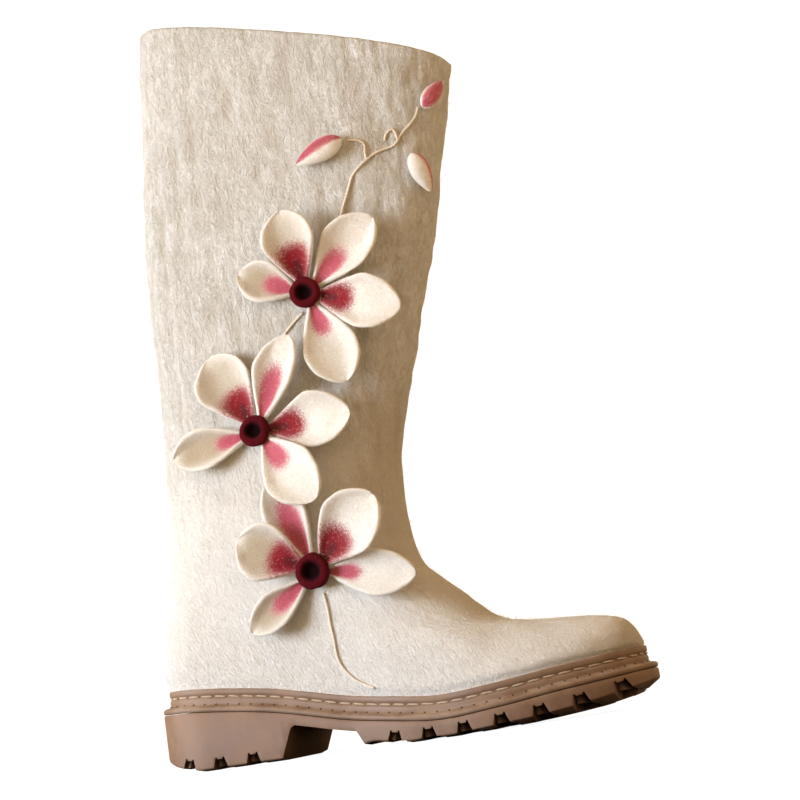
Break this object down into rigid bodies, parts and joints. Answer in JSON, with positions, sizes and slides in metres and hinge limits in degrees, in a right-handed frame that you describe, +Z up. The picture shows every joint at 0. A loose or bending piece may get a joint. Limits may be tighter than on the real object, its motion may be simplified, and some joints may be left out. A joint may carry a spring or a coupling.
{
  "type": "felt boot",
  "caption": "Tall wool felt boot for the right foot with a stitched rubber side band, a lugged rubber sole with a low heel, and felt flowers, buds and stems on its outer side.",
  "frame": {"origin": "middle of the heel's flat resting face, on the ground", "axes": "+X from heel to toe, +Z up along the shaft, -Y to the outer side of the right foot, which carries the flowers"},
  "size_m": [0.28, 0.1025, 0.4353],
  "materials": {
    "felt": "cream wool felt, matt and fuzzy",
    "insole_felt": "cream wool felt, matt",
    "petal_felt": "white wool felt with crimson and pink roots",
    "heart_felt": "dark crimson wool felt",
    "stem_felt": "cream felted yarn",
    "tan_rubber": "tan brown, satin",
    "band_rubber": "tan brown, satin, with a cream seam"
  },
  "bodies": {
    "root": {"outsole": "tan_rubber", "side_band": "band_rubber", "insole": "insole_felt", "upper": "felt", "petal_top_1": "petal_felt", "petal_top_2": "petal_felt", "petal_top_3": "petal_felt", "petal_top_4": "petal_felt", "petal_top_5": "petal_felt", "heart_top": "heart_felt", "petal_middle_1": "petal_felt", "petal_middle_2": "petal_felt", "petal_middle_3": "petal_felt", "petal_middle_4": "petal_felt", "petal_middle_5": "petal_felt", "heart_middle": "heart_felt", "petal_low_1": "petal_felt", "petal_low_2": "petal_felt", "petal_low_3": "petal_felt", "petal_low_4": "petal_felt", "petal_low_5": "petal_felt", "heart_low": "heart_felt", "bud_back": "petal_felt", "bud_rim": "petal_felt", "bud_front": "petal_felt", "stem_main": "stem_felt", "stem_branch": "stem_felt", "stem_tendril": "stem_felt", "stem_link": "stem_felt", "stem_short": "stem_felt", "stem_low": "stem_felt"}
  },
  "joints": []
}
